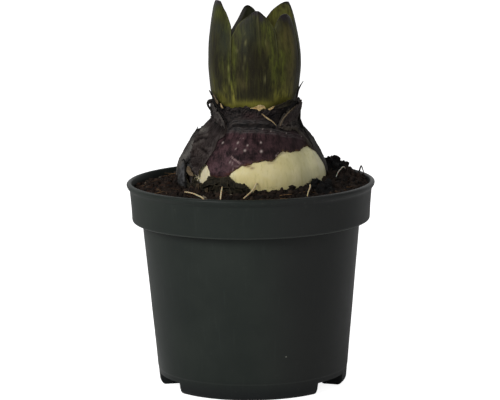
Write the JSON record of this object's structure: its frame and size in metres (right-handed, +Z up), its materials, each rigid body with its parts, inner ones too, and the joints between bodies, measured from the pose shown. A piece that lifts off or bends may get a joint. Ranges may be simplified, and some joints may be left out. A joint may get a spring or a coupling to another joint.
{
  "type": "potted hyacinth",
  "caption": "Sprouting hyacinth bulb with torn papery skins and a cup of short broad leaves, half out of the soil in a round footed nursery pot.",
  "frame": {"origin": "middle of the pot's feet on the table, on the pot's axis", "axes": "+Z up along the pot's axis, -Y towards the side where the bulb's skin is torn open, +X to that side's right"},
  "size_m": [0.09, 0.09, 0.1396],
  "materials": {
    "pot": "dark green-grey moulded plastic, satin",
    "soil": "moist dark peat with fibres and crumbs",
    "bulb": "smooth fleshy cream scale with fine veins",
    "tunic_purple": "purple papery skin with pale dots, wrinkled round the neck",
    "tunic_dry": "grey dry papery skin, wrinkled",
    "tunic_shreds": "near-black torn skin",
    "inner_scale": "tan dry scale tip",
    "straw_strand": "pale dry fibre",
    "leaf": "waxy dark olive leaf, purple at the tip and yellow-green at the foot",
    "flower_bud": "tight green florets"
  },
  "bodies": {
    "root": {"pot": "pot", "soil": "soil", "bulb": "bulb", "tunic_purple": "tunic_purple", "tunic_dry": "tunic_dry", "tunic_shreds": "tunic_shreds", "inner_scale": "inner_scale", "straw_strand": "straw_strand", "leaf_front": "leaf", "leaf_left": "leaf", "leaf_right_front": "leaf", "leaf_right_back": "leaf", "leaf_back": "leaf", "flower_bud": "flower_bud"}
  },
  "joints": []
}
